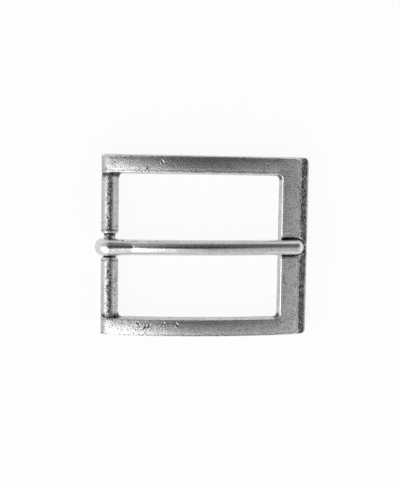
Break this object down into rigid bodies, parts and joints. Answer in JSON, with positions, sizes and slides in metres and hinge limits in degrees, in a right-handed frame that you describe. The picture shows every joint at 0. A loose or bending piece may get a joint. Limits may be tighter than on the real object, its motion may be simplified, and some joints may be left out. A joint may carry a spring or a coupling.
{
  "type": "belt buckle",
  "caption": "Rectangular heel-bar belt buckle with a bowed frame and a round prong that hinges on the bar's neck and rests in a notch, in antiqued silver finish.",
  "frame": {"origin": "middle of the heel bar, on its axis", "axes": "+X along the strap from the heel bar to the prong's tip, +Y across the strap, +Z out of the face"},
  "size_m": [0.0541, 0.0454, 0.0091],
  "materials": {
    "antiqued_silver_frame": "silver-plated zinc casting, tumbled to a satin and relieved, with dark patina in the recesses",
    "antiqued_silver_prong": "silver-plated casting, polished brighter than the frame, with faint patina streaks"
  },
  "bodies": {
    "frame_body": {"frame": "antiqued_silver_frame"},
    "prong_body": {"prong": "antiqued_silver_prong"}
  },
  "joints": [
    {"name": "prong_hinge", "type": "hinge", "parent": "frame_body", "child": "prong_body", "pos_m": [0, 0, 0], "axis": [0, -1, 0], "range_deg": [0, 180]}
  ]
}
